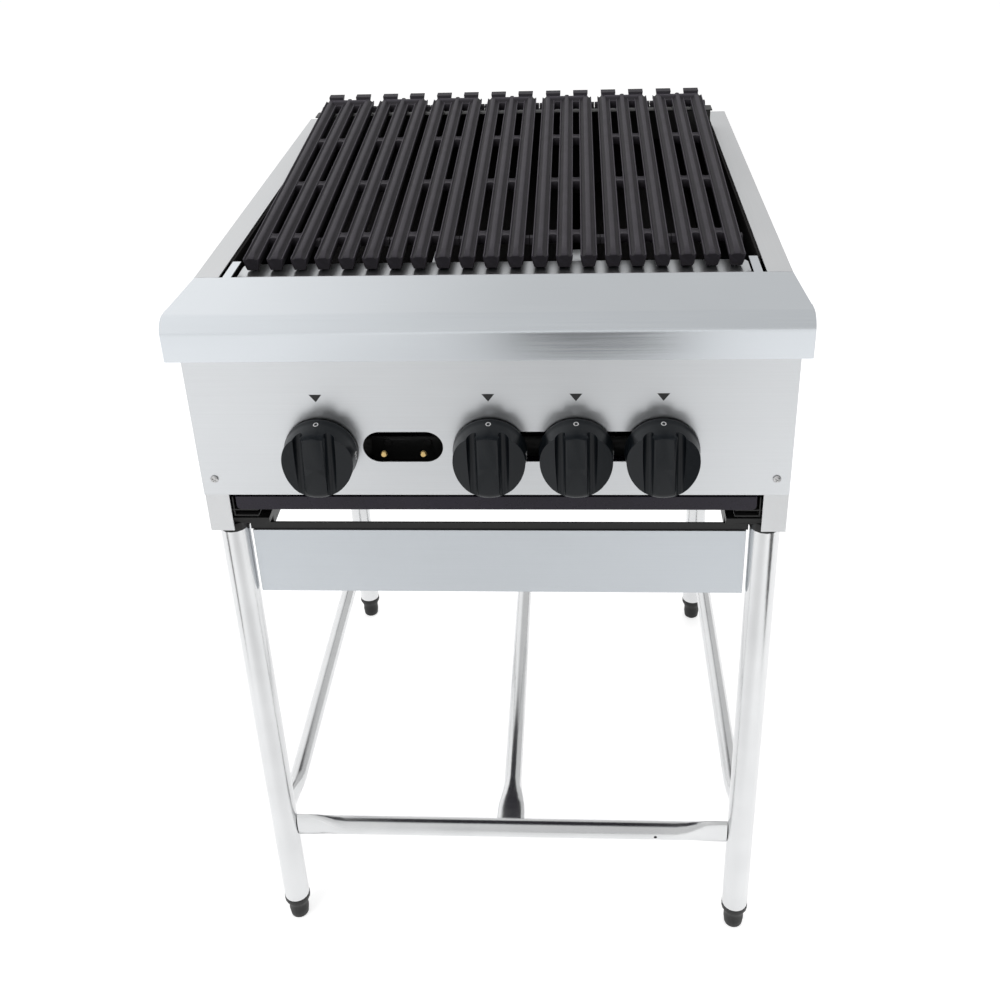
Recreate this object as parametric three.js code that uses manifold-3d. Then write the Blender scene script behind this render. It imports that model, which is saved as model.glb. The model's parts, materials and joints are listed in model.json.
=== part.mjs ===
// Gas charbroiler on a tubular stand: seven lift-out cast grates over a three-burner firebox.
// Millimetres, +Z up. X runs left to right as the cook sees it, and the cook stands on the -Y side.
// Heights count from the floor. Depths count from the face of the control panel, and the last
// group shifts them so that the part's origin is at the middle of its footprint.
import * as THREE from "three";
import { mergeVertices } from "three/addons/utils/BufferGeometryUtils.js";
import Module from "manifold-3d";

// ---- Driving dimensions ----
const sheet = 1.5; // stainless sheet
const thinSheet = 1.2; // liner and tray sheet
const flange = 25; // folded edges of the side panels
const seam = 0.3; // gap between pieces that touch

const grateCount = 7;
const ribsPerGrate = 3;
const ribPitch = 25;
const ribBase = 16.8; // a rib's greatest width
const ribTop = 5; // width of the branding edge
const ribKeel = 11; // width of the underside
const ribHeight = 17;
const ribWaist = 13; // height of the greatest width above the keel
const grateNub = 0.8; // clearance between the spacer nubs of two grates
const firstBar = 56; // first cross bar, from the front tips
const secondBar = 197;
const lastBar = 147; // last cross bar, from the rear end
const crossBarWidth = 12;
const grateRise = 39.5; // rear end above front end

const firegap = 9.5; // outermost rib pitch to the side liner
const linerInset = 28; // side liner from the cabinet's outer face
const halfWidth = (grateCount * ribsPerGrate * ribPitch) / 2 + firegap + linerInset;
const bodyWidth = 2 * halfWidth;
const bodyDepth = 666; // control panel face to the rear of the cabinet
const topHeight = 890; // floor to the flat top of the cabinet
const panelBottom = topHeight - 212; // lower edge of the control panel
const bodyBottom = panelBottom - 46.5; // lower end of the four corner posts

const noseReach = 28; // how far the front landing stands out
const noseHeight = 43.5;
const noseRadius = 16;
const noseSide = 5; // how far the nose is wider than the cabinet, each side
const landingDepth = 76; // control panel face to the landing's rear edge
const tabWidth = 9;
const tabLength = 42;
const tabSide = halfWidth - 38; // centre plane to the near edge of a landing tab

const legRadius = 15.875;
const legWall = 1.2;
const legSide = halfWidth - 16.5; // leg centre to the centre plane
const legFront = 29; // front leg centres behind the panel face
const legRear = bodyDepth - legFront;
const legBottom = 38; // the tube's lower end, on its foot
const stretcherRadius = 11.1;
const stretcherWall = 1.2;
const stretcherHeight = 163;
const stretcherFlat = 9; // thickness of a pressed end
const stretcherPress = 62; // length over which the tube is pressed flat

const linerSide = halfWidth - linerInset; // side liners, inner face to the centre plane
const linerFront = 106;
const linerRear = bodyDepth - 26;
const linerBottom = topHeight - 200;
const linerSpan = linerSide - seam; // half width of what fits between the side liners
const ledgeHeight = topHeight - 105; // ledges that carry the radiants
const ledgeDepth = 16;

const grateFront = linerFront + 7; // front tips of the ribs
const grateLength = linerRear - grateFront - 45;
const supportHeight = topHeight - 10; // top of the front grate support
const supportFront = linerFront - 6;
const supportDepth = 34;
const rearSeatDepth = 20; // bearing length of a grate on the rear support
const padHeight = 1; // machined pads under the ribs

const valveHeight = panelBottom + 53.5;
const radiantGap = 19; // between two radiants
const radiantMargin = 25; // outermost radiant to the side liner
const valvePitch = (linerSide - radiantMargin + radiantGap / 2) / 1.5; // three burners abreast
const pilotOffset = valvePitch / 2 + 0.5; // pilot valve from the middle valve
const stemRadius = 4;
const stemHole = 7; // radius
const knobRadius = 36;
const skirtRadius = knobRadius + 1.5;
const knobFace = 27; // rim of the knob's wings in front of the panel
const knobReach = 38; // grip bar in front of the panel
const gripWidth = 22;
const knobClear = 2; // running gap between skirt and panel
const slotMargin = 7.5; // lighting slot to the knobs beside it
const slotLine = valveHeight + 3.8; // centre height of the lighting slots
const slotHeight = 35;
const slotSide = -valvePitch / 2 - 2.5; // centre of the short lighting slot
const slotWidth = valvePitch - 2 * skirtRadius - 2 * slotMargin;
const longSlotWidth = valvePitch - 29;

const manifoldRadius = 10.7;
const manifoldHeight = valveHeight - 23.3;
const manifoldDepth = 45;
const inletSide = halfWidth - 15;
const inletReach = 24; // gas inlet behind the rear panel
const throatRadius = 14;
const pilotRadius = 4;
const valveRear = 64;
const spudEnd = 76;
const burnerHalfWidth = 22;
const burnerFront = linerFront + 44;
const burnerRear = linerRear - 36;
const pilotDepth = linerFront + 26; // lighting pipe across the burners

const screwSide = halfWidth - 13.7; // corner screws of the control panel
const screwHeight = panelBottom + 19.3;
const screwHead = 4.2;

const trayHeight = 16;
const trayGap = 4.5; // under the control panel
const trayBottom = panelBottom - trayGap - trayHeight;
const trayFront = 3;
const trayDepth = bodyDepth - trayFront - 38;
const runnerWidth = 26;
const runnerFar = legSide - legRadius - seam + 6; // a runner's outer face
const trayWidth = 2 * (runnerFar - sheet - 2.8);

const collarTop = bodyBottom - seam;
const collarHeight = 10; // black spacer between a post and its leg
const collarProud = 0.8; // how far it stands out round the tube
const legTop = collarTop - collarHeight - seam;
const apronTop = bodyBottom - 17.5;
const apronBottom = apronTop - 82;
const apronWidth = 2 * (legSide - legRadius - 3.125);
const apronReturn = 14;
const railBottom = apronTop + 4; // rails between the front and rear legs
const railTop = railBottom + 22;
const railInner = legSide - 42.5;
const railWidth = 21;

// ---- Materials ----
const finish = (color, roughness, metalness) =>
  new THREE.MeshStandardMaterial({ color, roughness, metalness });
const brushedSteel = finish(0xc9cbcd, 0.35, 1);
const brightTube = finish(0xd8dadc, 0.18, 1);
const castIron = finish(0x2b2a2d, 0.62, 0.6);
const enamel = finish(0x17161a, 0.3, 0.1);
const blackPaint = finish(0x121214, 0.5, 0.1);
const aluminised = finish(0x8b8c8e, 0.55, 0.9);
const bakelite = finish(0x1d2023, 0.35, 0);
const brass = finish(0xb08d4a, 0.35, 1);
const zinc = finish(0xb4b6b8, 0.35, 1);
const pipeSteel = finish(0x55575a, 0.5, 0.8);
const rubber = finish(0x101012, 0.7, 0);

// ---- Solids ----
const wasm = await Module();
wasm.setup();

// A closed three.js geometry as a solid that can be joined and cut.
function solid(geometry) {
  const bare = geometry.clone();
  bare.deleteAttribute("normal");
  bare.deleteAttribute("uv");
  const merged = mergeVertices(bare, 1e-4);
  return new wasm.Manifold(
    new wasm.Mesh({
      numProp: 3,
      vertProperties: new Float32Array(merged.attributes.position.array),
      triVerts: new Uint32Array(merged.index.array),
    }),
  );
}

const joined = (parts) => parts.reduce((all, next) => all.add(next));
const cutAway = (body, tools) => tools.reduce((rest, tool) => rest.subtract(tool), body);

// A box from its lowest to its highest corner.
function block([x0, y0, z0], [x1, y1, z1]) {
  const box = new THREE.BoxGeometry(x1 - x0, y1 - y0, z1 - z0);
  return solid(box.translate((x0 + x1) / 2, (y0 + y1) / 2, (z0 + z1) / 2));
}

// A box mirrored to the side that is asked for: x counts outwards from the centre plane.
function sideBlock(side, [x0, y0, z0], [x1, y1, z1]) {
  const [near, far] = side > 0 ? [x0, x1] : [-x1, -x0];
  return block([near, y0, z0], [far, y1, z1]);
}

// A round bar along one axis, from start to end.
function bar(axis, radius, start, end, [a, b], facets = 16) {
  const rod = new THREE.CylinderGeometry(radius, radius, end - start, facets);
  const middle = (start + end) / 2;
  if (axis === "x") rod.rotateZ(Math.PI / 2).translate(middle, a, b);
  if (axis === "y") rod.translate(a, middle, b);
  if (axis === "z") rod.rotateX(Math.PI / 2).translate(a, b, middle);
  return solid(rod);
}

// A flat outline in X and Z, extruded back from a depth.
function upright(shape, depth, thickness, curveSegments = 6) {
  const slab = new THREE.ExtrudeGeometry(shape, {
    depth: thickness,
    bevelEnabled: false,
    curveSegments,
  });
  return solid(slab.rotateX(Math.PI / 2).translate(0, depth + thickness, 0));
}

// An outline in Y and Z, extruded along X from one side to the other.
function crosswise(shape, x0, x1, curveSegments = 6) {
  const slab = new THREE.ExtrudeGeometry(shape, {
    depth: x1 - x0,
    bevelEnabled: false,
    curveSegments,
  });
  const axes = new THREE.Matrix4().makeBasis(
    new THREE.Vector3(0, 1, 0),
    new THREE.Vector3(0, 0, 1),
    new THREE.Vector3(1, 0, 0),
  );
  return solid(slab.applyMatrix4(axes).translate(x0, 0, 0));
}

// An outline in X and Y, extruded up from a height.
function levelPlate(shape, z, thickness, curveSegments = 4) {
  const slab = new THREE.ExtrudeGeometry(shape, {
    depth: thickness,
    bevelEnabled: false,
    curveSegments,
  });
  return solid(slab.translate(0, 0, z));
}

// A slot with round ends, centred on a point.
function obround(width, height, x, z) {
  const r = height / 2;
  const shape = new THREE.Shape();
  shape.moveTo(x - width / 2 + r, z - r);
  shape.lineTo(x + width / 2 - r, z - r);
  shape.absarc(x + width / 2 - r, z, r, -Math.PI / 2, Math.PI / 2, false);
  shape.lineTo(x - width / 2 + r, z + r);
  shape.absarc(x - width / 2 + r, z, r, Math.PI / 2, (3 * Math.PI) / 2, false);
  return shape;
}

function mesh(name, body, material) {
  const data = body.getMesh();
  const geometry = new THREE.BufferGeometry();
  geometry.setAttribute("position", new THREE.BufferAttribute(data.vertProperties, 3));
  geometry.setIndex(new THREE.BufferAttribute(data.triVerts, 1));
  geometry.computeVertexNormals();
  const made = new THREE.Mesh(geometry, material);
  made.name = name;
  return made;
}

const half = halfWidth;
const inner = half - sheet; // inner face of a side panel
const underTop = topHeight - sheet; // underside of the top flanges
const innerLanding = underTop - seam; // what stops just under the top sheet
const sideName = (side) => (side > 0 ? "right" : "left");
const sides = [-1, 1];
const valves = [
  { x: -valvePitch, burner: true },
  { x: 0, burner: true },
  { x: pilotOffset, burner: false },
  { x: valvePitch, burner: true },
];

// ---- Cabinet ----
function sidePanel(side) {
  const behindPanel = sheet + seam;
  const rearFace = bodyDepth - sheet - seam;
  const wall = sideBlock(side, [inner, behindPanel, bodyBottom], [half, bodyDepth, innerLanding]);
  const top = sideBlock(
    side,
    [half - flange, landingDepth + seam, underTop],
    [half, bodyDepth, topHeight],
  );
  // The wall meets the top flange only behind the landing.
  const rise = sideBlock(side, [inner, landingDepth + seam, underTop - 1], [half, bodyDepth, topHeight]);
  const post = sideBlock(
    side,
    [half - flange, behindPanel, bodyBottom],
    [half, behindPanel + sheet, innerLanding - tabWidth],
  );
  const rearPost = sideBlock(
    side,
    [half - flange, rearFace - sheet, bodyBottom],
    [half, rearFace, underTop - seam],
  );
  const screwHole = bar("y", 2.3, 0, 2 * flange, [side * screwSide, screwHeight], 12);
  const inletHole = bar(
    "y",
    manifoldRadius + 1.5,
    rearFace - 2 * sheet,
    bodyDepth,
    [inletSide, manifoldHeight],
  );
  return cutAway(joined([wall, top, rise, post, rearPost]), [screwHole, inletHole]);
}

function frontPanel() {
  const plate = block([-half, 0, panelBottom], [half, sheet, innerLanding]);
  const lip = block(
    [-half + flange + 2, 0, panelBottom],
    [half - flange - 2, 14, panelBottom + sheet],
  );
  const holes = valves
    .filter(({ burner }) => burner)
    .map(({ x }) => bar("y", stemHole, -1, sheet + 1, [x, valveHeight]));
  const slots = [
    upright(obround(slotWidth, slotHeight, slotSide, slotLine), -1, sheet + 2, 14),
    upright(obround(longSlotWidth, slotHeight, pilotOffset, slotLine), -1, sheet + 2, 14),
  ];
  const screws = sides.map((side) =>
    bar("y", 2.3, -1, sheet + 1, [side * screwSide, screwHeight], 12),
  );
  return cutAway(plate.add(lip), [...holes, ...slots, ...screws]);
}

function cornerScrew(side) {
  const at = [side * screwSide, screwHeight];
  const head = bar("y", screwHead, -2.2 - seam, -seam, at, 16);
  const shank = bar("y", 1.9, -1, 12, at, 10);
  return head.add(shank);
}

// The rolled nose that the cook leans on: a folded sheet with closed ends, whose flat top
// narrows from the nose to the width of the cabinet.
function frontLanding() {
  const lower = topHeight - noseHeight;
  const back = -sheet; // rear edge of the end cheeks, clear of the control panel
  const bend = -noseReach + noseRadius;
  const skin = (inset) => {
    const shape = new THREE.Shape();
    shape.moveTo(back, topHeight - inset);
    shape.lineTo(bend, topHeight - inset);
    shape.absarc(bend, topHeight - noseRadius, noseRadius - inset, Math.PI / 2, Math.PI, false);
    shape.lineTo(-noseReach + inset, lower + inset);
    shape.lineTo(back + (inset ? 1 : 0), lower + inset);
    return shape;
  };
  const outer = skin(0);
  const hollow = skin(sheet);
  hollow.lineTo(back + 1, topHeight - sheet);
  const wide = half + noseSide;
  const nose = crosswise(outer, -wide, wide, 8);
  const space = crosswise(hollow, -wide + sheet, wide - sheet, 8);
  const top = new THREE.Shape();
  top.moveTo(-wide, bend);
  top.lineTo(wide, bend);
  top.lineTo(half, landingDepth);
  top.lineTo(-half, landingDepth);
  const tabs = sides.map((side) =>
    sideBlock(
      side,
      [tabSide, landingDepth - 1, underTop],
      [tabSide + tabWidth, landingDepth + tabLength, topHeight],
    ),
  );
  return joined([cutAway(nose, [space]), levelPlate(top, underTop, sheet), ...tabs]);
}

function rearPanel() {
  const plate = block([-inner + seam, bodyDepth - sheet, bodyBottom], [inner - seam, bodyDepth, underTop]);
  const top = block(
    [-half + flange + seam, bodyDepth - flange, underTop],
    [half - flange - seam, bodyDepth, topHeight],
  );
  const inletHole = bar(
    "y",
    manifoldRadius + 1.5,
    bodyDepth - 2 * sheet,
    bodyDepth + 1,
    [inletSide, manifoldHeight],
  );
  return cutAway(plate.add(top), [inletHole]);
}

// ---- Firebox ----
function sideLiner(side) {
  const wall = sideBlock(
    side,
    [linerSide, linerFront, linerBottom],
    [linerSide + thinSheet, linerRear, innerLanding],
  );
  const lip = sideBlock(
    side,
    [linerSide, landingDepth + tabLength + 2, innerLanding - thinSheet],
    [inner - 4, linerRear, innerLanding],
  );
  return wall.add(lip);
}

function frontLiner() {
  const y1 = linerFront + thinSheet;
  const wall = block([-linerSpan, linerFront, linerBottom], [linerSpan, y1, supportHeight - sheet - seam]);
  const ledge = block(
    [-linerSpan, linerFront, ledgeHeight - thinSheet],
    [linerSpan, y1 + ledgeDepth, ledgeHeight],
  );
  const doors = valves.map(({ x, burner }) =>
    bar("y", burner ? throatRadius + 1 : pilotRadius + 1, linerFront - 1, y1 + 1, [x, valveHeight]),
  );
  return cutAway(wall.add(ledge), doors);
}

function rearLiner() {
  const y = linerRear + seam;
  const wall = block([-linerSpan, y, linerBottom], [linerSpan, y + thinSheet, innerLanding]);
  const ledge = block(
    [-linerSpan, linerRear + seam - ledgeDepth, ledgeHeight - thinSheet],
    [linerSpan, linerRear + seam + thinSheet, ledgeHeight],
  );
  const lip = block(
    [-linerSpan, linerRear + seam, innerLanding - thinSheet],
    [linerSpan, bodyDepth - sheet - seam, innerLanding],
  );
  return joined([wall, ledge, lip]);
}

// ---- Grate supports ----
const grateSlope = Math.atan2(grateRise, grateLength);
const keelHeight = (y) => grateKeel + (y - grateFront) * Math.tan(grateSlope);
const grateKeel = supportHeight + seam + padHeight;
const rearSeat = grateFront + Math.cos(grateSlope) * grateLength - rearSeatDepth;
const rearSeatHeight = keelHeight(rearSeat) - 0.4;

function frontSupport() {
  const r = 8;
  const side = linerSpan - 8;
  const y1 = supportFront + supportDepth;
  const outline = new THREE.Shape();
  outline.moveTo(-side, supportFront);
  outline.lineTo(side, supportFront);
  outline.lineTo(side, y1 - r);
  outline.absarc(side - r, y1 - r, r, 0, Math.PI / 2, false);
  outline.lineTo(-side + r, y1);
  outline.absarc(-side + r, y1 - r, r, Math.PI / 2, Math.PI, false);
  const shelf = levelPlate(outline, supportHeight - sheet, sheet);
  const web = block(
    [-side, linerFront - seam - sheet, supportHeight - 32],
    [side, linerFront - seam, supportHeight - sheet / 2],
  );
  return shelf.add(web);
}

function rearSupport() {
  const top = rearSeatHeight - seam;
  const back = rearSeat + rearSeatDepth + 2;
  const lip = block([-linerSpan, rearSeat - 2, top - sheet], [linerSpan, back, top]);
  const riser = block([-linerSpan, back - sheet, innerLanding - 16], [linerSpan, back, top]);
  const foot = block(
    [-linerSpan, back - sheet, innerLanding - 16],
    [linerSpan, linerRear, innerLanding - 16 + sheet],
  );
  const drop = innerLanding - 16;
  const tail = block([-linerSpan, linerRear - sheet, drop - 14], [linerSpan, linerRear, drop + sheet]);
  return joined([lip, riser, foot, tail]);
}

// ---- Grates ----
// A casting lies along its own Y, keel down, and is then tilted and set on the two supports.
function grate(index) {
  const x0 = (index - (grateCount - 1) / 2) * ribPitch * ribsPerGrate;
  const ribOutline = new THREE.Shape();
  ribOutline.moveTo(-ribKeel / 2, 0);
  ribOutline.lineTo(ribKeel / 2, 0);
  ribOutline.lineTo(ribBase / 2, ribWaist);
  ribOutline.lineTo(ribTop / 2, ribHeight);
  ribOutline.lineTo(-ribTop / 2, ribHeight);
  ribOutline.lineTo(-ribBase / 2, ribWaist);
  const ribXs = Array.from({ length: ribsPerGrate }, (_, i) => (i - (ribsPerGrate - 1) / 2) * ribPitch);
  const ribs = ribXs.map((x) => {
    const rib = upright(ribOutline, 0, grateLength);
    return rib.translate([x, 0, 0]);
  });
  const across = ribXs[ribsPerGrate - 1];
  const bars = [firstBar, secondBar, grateLength - lastBar].map((y) =>
    block([-across, y - crossBarWidth / 2, 2], [across, y + crossBarWidth / 2, ribWaist - 0.5]),
  );
  const tail = block(
    [-across - ribTop / 2, grateLength - 12, 2],
    [across + ribTop / 2, grateLength, ribHeight],
  );
  const lugs = sides.map((side) =>
    sideBlock(side, [9, grateLength - 3, ribHeight - 7], [28, grateLength + 12, ribHeight + 2]),
  );
  const reach = (ribPitch * ribsPerGrate) / 2 - grateNub / 2;
  const nubs = [firstBar, grateLength - 10].flatMap((y) =>
    sides.map((side) => sideBlock(side, [across, y - 6, 2], [reach, y + 6, ribWaist])),
  );
  const casting = joined([...ribs, ...bars, tail, ...lugs, ...nubs])
    .rotate([THREE.MathUtils.radToDeg(grateSlope), 0, 0])
    .translate([x0, grateFront, grateKeel]);
  // Flat bearing pads under each rib, on the front and the rear support.
  const pads = ribXs.flatMap((x) => [
    block(
      [x0 + x - ribKeel / 2, grateFront + 1, supportHeight + seam],
      [x0 + x + ribKeel / 2, grateFront + 24, grateKeel + 5],
    ),
    block(
      [x0 + x - ribKeel / 2, rearSeat, rearSeatHeight],
      [x0 + x + ribKeel / 2, rearSeat + rearSeatDepth, keelHeight(rearSeat) + 5],
    ),
  ]);
  return joined([casting, ...pads]);
}

// ---- Gas train ----
function gasValve({ x, burner }) {
  const base = manifoldHeight + manifoldRadius + seam;
  const body = block([x - 11, 24, base + 5], [x + 11, valveRear, valveHeight + 12]);
  const inlet = bar("z", 8, base, base + 8, [x, manifoldDepth], 6);
  const bonnet = bar("y", 9, 14, 26, [x, valveHeight], 6);
  const spud = bar("y", burner ? 6 : 5, valveRear - 2, spudEnd, [x, valveHeight], 6);
  const stemBore = bar("y", stemRadius + seam, 0, 50, [x, valveHeight], 16);
  return cutAway(joined([body, inlet, bonnet, spud]), [stemBore]);
}

function valveStem({ x }) {
  const rod = bar("y", stemRadius, -knobFace + 9, 49, [x, valveHeight], 16);
  const flat = block(
    [x - stemRadius, -knobFace, valveHeight + stemRadius * 0.6],
    [x + stemRadius, 8, valveHeight + 2 * stemRadius],
  );
  return cutAway(rod, [flat]);
}

function knob({ x }) {
  const profile = [
    [0, knobClear],
    [skirtRadius, knobClear],
    [skirtRadius, knobClear + 4],
    [knobRadius, knobClear + 8],
    [knobRadius - 0.6, knobFace - 2],
    [knobRadius - 2.4, knobFace],
    [0, knobFace],
  ].map(([r, depth]) => new THREE.Vector2(r, depth));
  const body = solid(new THREE.LatheGeometry(profile, 32).rotateX(Math.PI));
  // The grip stands between two grooves that run from top to bottom.
  const grip = levelPlate(gripOutline(), -knobRadius, 2 * knobRadius).intersect(
    bar("y", knobRadius, -knobReach - 1, -knobFace / 2, [0, 0], 32),
  );
  const grooves = sides.map((side) => bar("z", 8.5, -60, 60, [side * 20.5, -knobFace - 1], 14));
  const bore = bar("y", stemRadius + seam, -knobFace + 8, 0, [0, 0], 16);
  return joined([cutAway(body, grooves), grip])
    .subtract(bore)
    .translate([x, 0, valveHeight]);
}

// The grip bar from above: straight flanks and a softened front edge.
function gripOutline() {
  const w = gripWidth / 2;
  const shape = new THREE.Shape();
  shape.moveTo(-w - 1, -knobFace / 2);
  shape.lineTo(-w, -knobReach + 3);
  shape.quadraticCurveTo(-w, -knobReach, -w + 3, -knobReach);
  shape.lineTo(w - 3, -knobReach);
  shape.quadraticCurveTo(w, -knobReach, w, -knobReach + 3);
  shape.lineTo(w + 1, -knobFace / 2);
  return shape;
}

// Along the front under the valves, round an elbow fitting, then back past the firebox.
function gasManifold() {
  const z = manifoldHeight;
  const inlet = bodyDepth + inletReach;
  const front = bar("x", manifoldRadius, -valvePitch - 30, inletSide, [manifoldDepth, z], 12);
  const along = bar("y", manifoldRadius, manifoldDepth, inlet, [inletSide, z], 12);
  const elbow = solid(
    new THREE.SphereGeometry(manifoldRadius + 2, 12, 8).translate(inletSide, manifoldDepth, z),
  );
  const bore = bar("y", manifoldRadius - 2.5, inlet - 40, inlet + 1, [inletSide, z], 12);
  return cutAway(joined([front, along, elbow]), [bore]);
}

function manifoldBracket() {
  const x = slotSide;
  const front = manifoldDepth - manifoldRadius - seam;
  const low = panelBottom + sheet + seam;
  const plate = block([x - 38, front - 2, low], [x + 38, front, manifoldHeight + 20]);
  const foot = block(
    [x - 38, 4, panelBottom + sheet + seam],
    [x + 38, front, panelBottom + sheet + seam + 2],
  );
  const heads = sides.map((side) =>
    bar("y", 3.8, front - 4.5, front - 1, [x + side * 21, manifoldHeight + 14], 16),
  );
  return joined([plate, foot, ...heads]);
}

function burner(x) {
  const start = spudEnd + 2;
  const low = valveHeight - throatRadius;
  const body = block([x - burnerHalfWidth, burnerFront, low], [x + burnerHalfWidth, burnerRear, low + 26]);
  const crown = block([x - 12, burnerFront + 6, low + 25], [x + 12, burnerRear - 6, low + 32]);
  const throat = bar("y", throatRadius, start, burnerFront + 2, [x, valveHeight]);
  const mouth = bar("y", throatRadius - 1.5, start - 1, start + 50, [x, valveHeight]);
  const tongue = block([x - 10, burnerRear - 4, low], [x + 10, linerRear, low + 3]);
  return cutAway(joined([body, crown, throat, tongue]), [mouth]);
}

function pilotBurner() {
  const y = pilotDepth;
  const z = valveHeight + 30;
  const x = pilotOffset;
  const reach = valvePitch + 20;
  const rail = bar("x", pilotRadius, -reach, reach, [y, z], 12);
  const route = new THREE.CatmullRomCurve3(
    [
      [x, spudEnd + seam, valveHeight],
      [x, y - 16, valveHeight],
      [x, y - 4, valveHeight + 8],
      [x, y, z],
    ].map((p) => new THREE.Vector3(...p)),
  );
  const section = new THREE.Shape().absarc(0, 0, pilotRadius - 0.6, 0, 2 * Math.PI, false);
  const feed = new THREE.ExtrudeGeometry(section, {
    steps: 10,
    extrudePath: route,
    curveSegments: 4,
    bevelEnabled: false,
  });
  return rail.add(solid(feed));
}

// A folded tent of sheet that spreads the heat of one burner.
function radiant(x) {
  const spread = (valvePitch - radiantGap) / 2;
  const height = 34;
  const t = 2;
  const outline = new THREE.Shape();
  const foot = ledgeHeight + seam;
  outline.moveTo(x - spread, foot);
  outline.lineTo(x - spread + 2 * t, foot);
  outline.lineTo(x, foot + height - t);
  outline.lineTo(x + spread - 2 * t, foot);
  outline.lineTo(x + spread, foot);
  outline.lineTo(x + 4, foot + height);
  outline.lineTo(x - 4, foot + height);
  const y0 = linerFront + thinSheet + 2;
  return upright(outline, y0, linerRear - 2 - y0);
}

// ---- Drip tray and its runners ----
function dripTray() {
  const w = trayWidth / 2;
  const corner = 5;
  const outline = (inset) => {
    const shape = new THREE.Shape();
    const r = corner - inset;
    shape.moveTo(-w + inset, trayBottom + trayHeight + inset);
    shape.lineTo(-w + inset, trayBottom + corner);
    shape.absarc(-w + corner, trayBottom + corner, r, Math.PI, 1.5 * Math.PI, false);
    shape.absarc(w - corner, trayBottom + corner, r, 1.5 * Math.PI, 2 * Math.PI, false);
    shape.lineTo(w - inset, trayBottom + trayHeight + inset);
    return shape;
  };
  const outside = upright(outline(0), trayFront, trayDepth, 4);
  const inside = upright(outline(thinSheet), trayFront + thinSheet, trayDepth - 2 * thinSheet, 4);
  return outside.subtract(inside);
}

// A channel on the stand's rail: the tray slides on its shelf, which closes the gap to the
// side panel, and along the wall that stands on it.
function trayRunner(side) {
  const top = trayBottom - seam;
  const near = runnerFar - runnerWidth;
  const y0 = trayFront + 1;
  const y1 = legRear - legFront + y0;
  const lipTop = top - 7;
  const wallTop = trayBottom + trayHeight - 1;
  const shelf = sideBlock(side, [near, y0, top - sheet], [inner - seam, y1, top]);
  const wall = sideBlock(side, [runnerFar - sheet, y0, lipTop - sheet], [runnerFar, y1, wallTop]);
  const lip = sideBlock(side, [near, y0, lipTop - sheet], [runnerFar, y1, lipTop]);
  const web = sideBlock(side, [near, legFront + 20, railTop + seam], [near + sheet, legRear - 20, lipTop]);
  return joined([shelf, wall, lip, web]);
}

// ---- Stand ----
// Black frame under the cabinet: four spigots with collars for the legs, a plate at each
// corner, a rail along each side and a tie across the back.
function baseFrame() {
  const spigot = legRadius - legWall - seam;
  const railFar = railInner + railWidth;
  const corners = sides.flatMap((side) =>
    [legFront, legRear].flatMap((y) => {
      const x = side * legSide;
      const y0 = y - 12;
      const plateTop = collarTop + 6;
      return [
        bar("z", spigot, legTop - 32, collarTop, [x, y]),
        bar("z", legRadius + collarProud, legTop + seam, collarTop, [x, y]),
        sideBlock(side, [railInner, y0, collarTop - 1], [inner - seam, y0 + 24, plateTop]),
      ];
    }),
  );
  const rails = sides.map((side) =>
    sideBlock(side, [railInner, legFront + 3, railBottom], [railFar, legRear, railTop]),
  );
  const tie = block([-railFar, legRear - 25, railBottom], [railFar, legRear - 5, railTop - 1]);
  return joined([...corners, ...rails, tie]);
}

function leg(x, y) {
  const tube = bar("z", legRadius, legBottom, legTop, [x, y], 24);
  return tube.subtract(bar("z", legRadius - legWall, legBottom - 1, legTop + 1, [x, y], 24));
}

// A push-in plastic tip: plug, shoulder, waist and a domed pad.
function foot(x, y) {
  const plug = legRadius - legWall - seam;
  const shoulder = legBottom - seam;
  const profile = [
    [0, 0],
    [9.5, 0],
    [11.5, 2],
    [12.6, 12],
    [12.2, 20],
    [13.4, 26],
    [legRadius + 0.4, 31],
    [legRadius + 0.4, shoulder],
    [plug, shoulder],
    [plug - 0.6, shoulder + 18],
    [0, shoulder + 18],
  ].map(([r, z]) => new THREE.Vector2(r, z));
  return solid(new THREE.LatheGeometry(profile, 20).rotateX(Math.PI / 2).translate(x, y, 0));
}

// A round tube pressed flat towards both ends, lying along Y with its middle at the origin.
function pressedTube(length) {
  const rings = 6; // rings of points over each pressed end
  const tube = new THREE.CylinderGeometry(stretcherRadius, stretcherRadius, 2, 16, 2 * rings);
  const spots = tube.getAttribute("position");
  const girth = Math.PI * stretcherRadius;
  for (let i = 0; i < spots.count; i++) {
    const end = Math.sign(spots.getY(i));
    const near = (Math.abs(spots.getY(i)) * rings - 1) / (rings - 1);
    const pressed = THREE.MathUtils.smoothstep(near, 0, 0.75);
    spots.setY(i, near < 0 ? 0 : end * (length / 2 - stretcherPress * (1 - near)));
    const thin = THREE.MathUtils.lerp(1, stretcherFlat / (2 * stretcherRadius), pressed);
    const wide = THREE.MathUtils.lerp(1, girth / (2 * stretcherRadius), pressed);
    spots.setX(i, spots.getX(i) * wide);
    spots.setZ(i, spots.getZ(i) * thin);
  }
  const hollow = length - 2 * stretcherPress - 40;
  const bore = bar("y", stretcherRadius - stretcherWall, -hollow / 2, hollow / 2, [0, 0]);
  const vent = bar("z", 2, -stretcherRadius - 1, 0, [0, -hollow / 2 + 6], 8);
  return solid(tube).subtract(bore).subtract(vent);
}

function stretcherAcross(y) {
  const length = 2 * (legSide - legRadius - seam);
  // Turned so that the tube runs along X and its pressed ends stand upright.
  return pressedTube(length).rotate([0, 90, 90]).translate([0, y, stretcherHeight]);
}

function stretcherAlong(x, y0, y1, turn) {
  const tube = pressedTube(y1 - y0).rotate([0, turn, 0]);
  return tube.translate([x, (y0 + y1) / 2, stretcherHeight]);
}

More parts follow.
